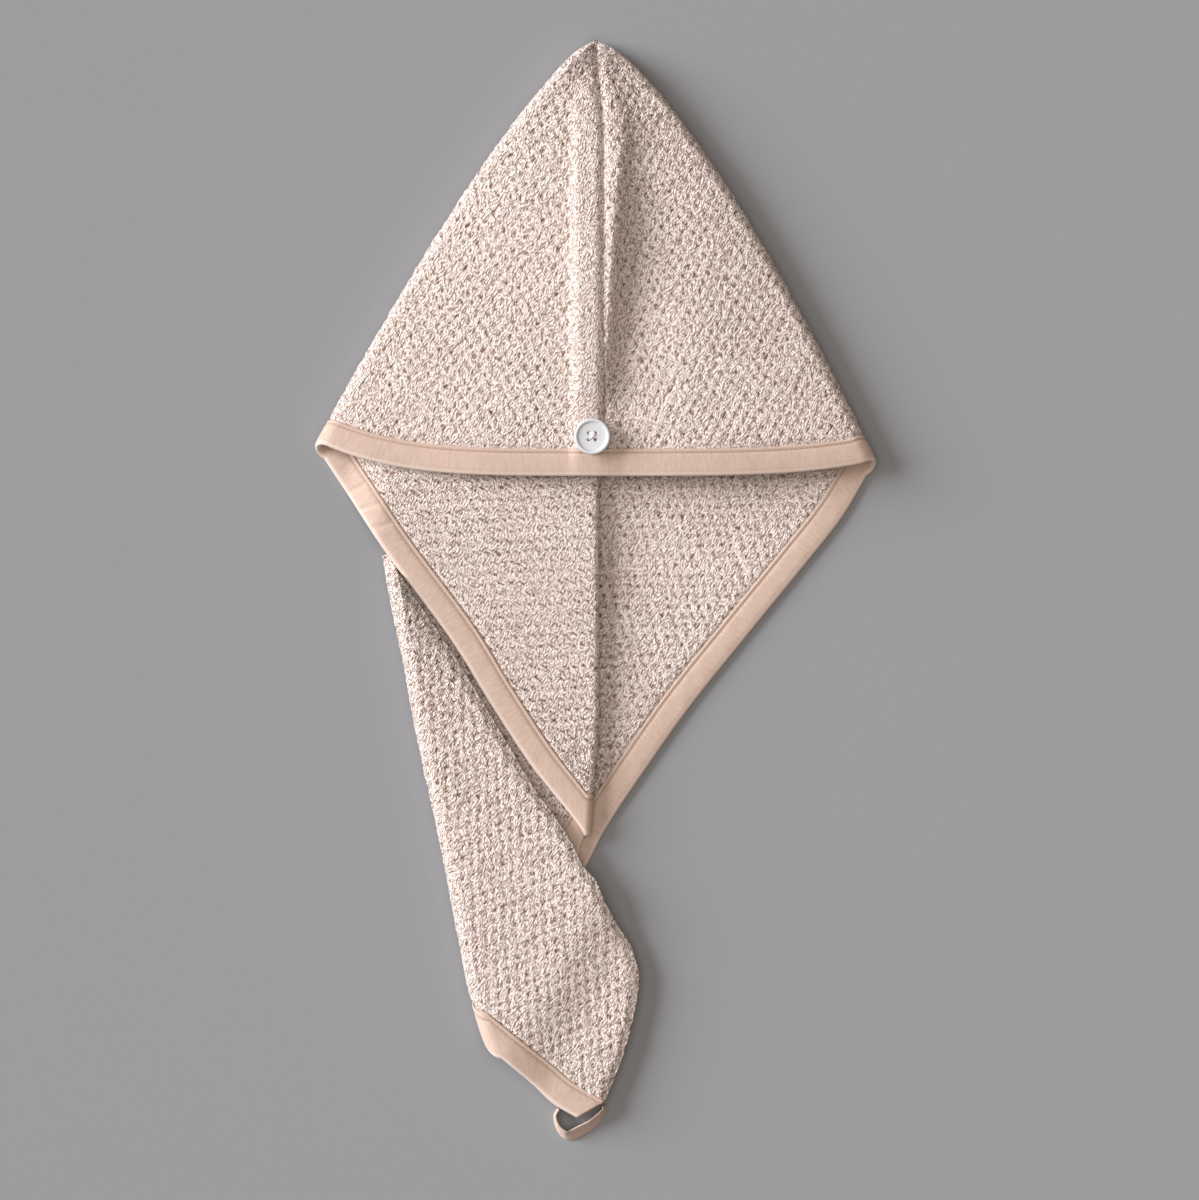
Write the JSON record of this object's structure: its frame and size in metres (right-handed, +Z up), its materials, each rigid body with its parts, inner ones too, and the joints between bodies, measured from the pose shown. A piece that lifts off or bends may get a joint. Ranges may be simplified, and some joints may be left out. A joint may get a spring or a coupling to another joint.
{
  "type": "hair turban towel",
  "caption": "Hooded hair-drying towel of waffle terry with a bound rim, a folded-over tail, a hanging loop and a nape button, lying flat.",
  "frame": {"origin": "on the floor, under the middle of the towel's outline", "axes": "+Y towards the hood's peak, +X to the right as seen from above with the button up, +Z up"},
  "size_m": [0.3364, 0.6566, 0.0295],
  "materials": {
    "terry": "waffle terry, cream pink, matt",
    "tape": "fine woven tape, tan beige, matt",
    "button": "cool white, satin gloss"
  },
  "bodies": {
    "root": {"left_panel": "terry", "right_panel": "terry", "left_binding": "tape", "right_binding": "tape", "hanging_loop": "tape", "button": "button"}
  },
  "joints": []
}
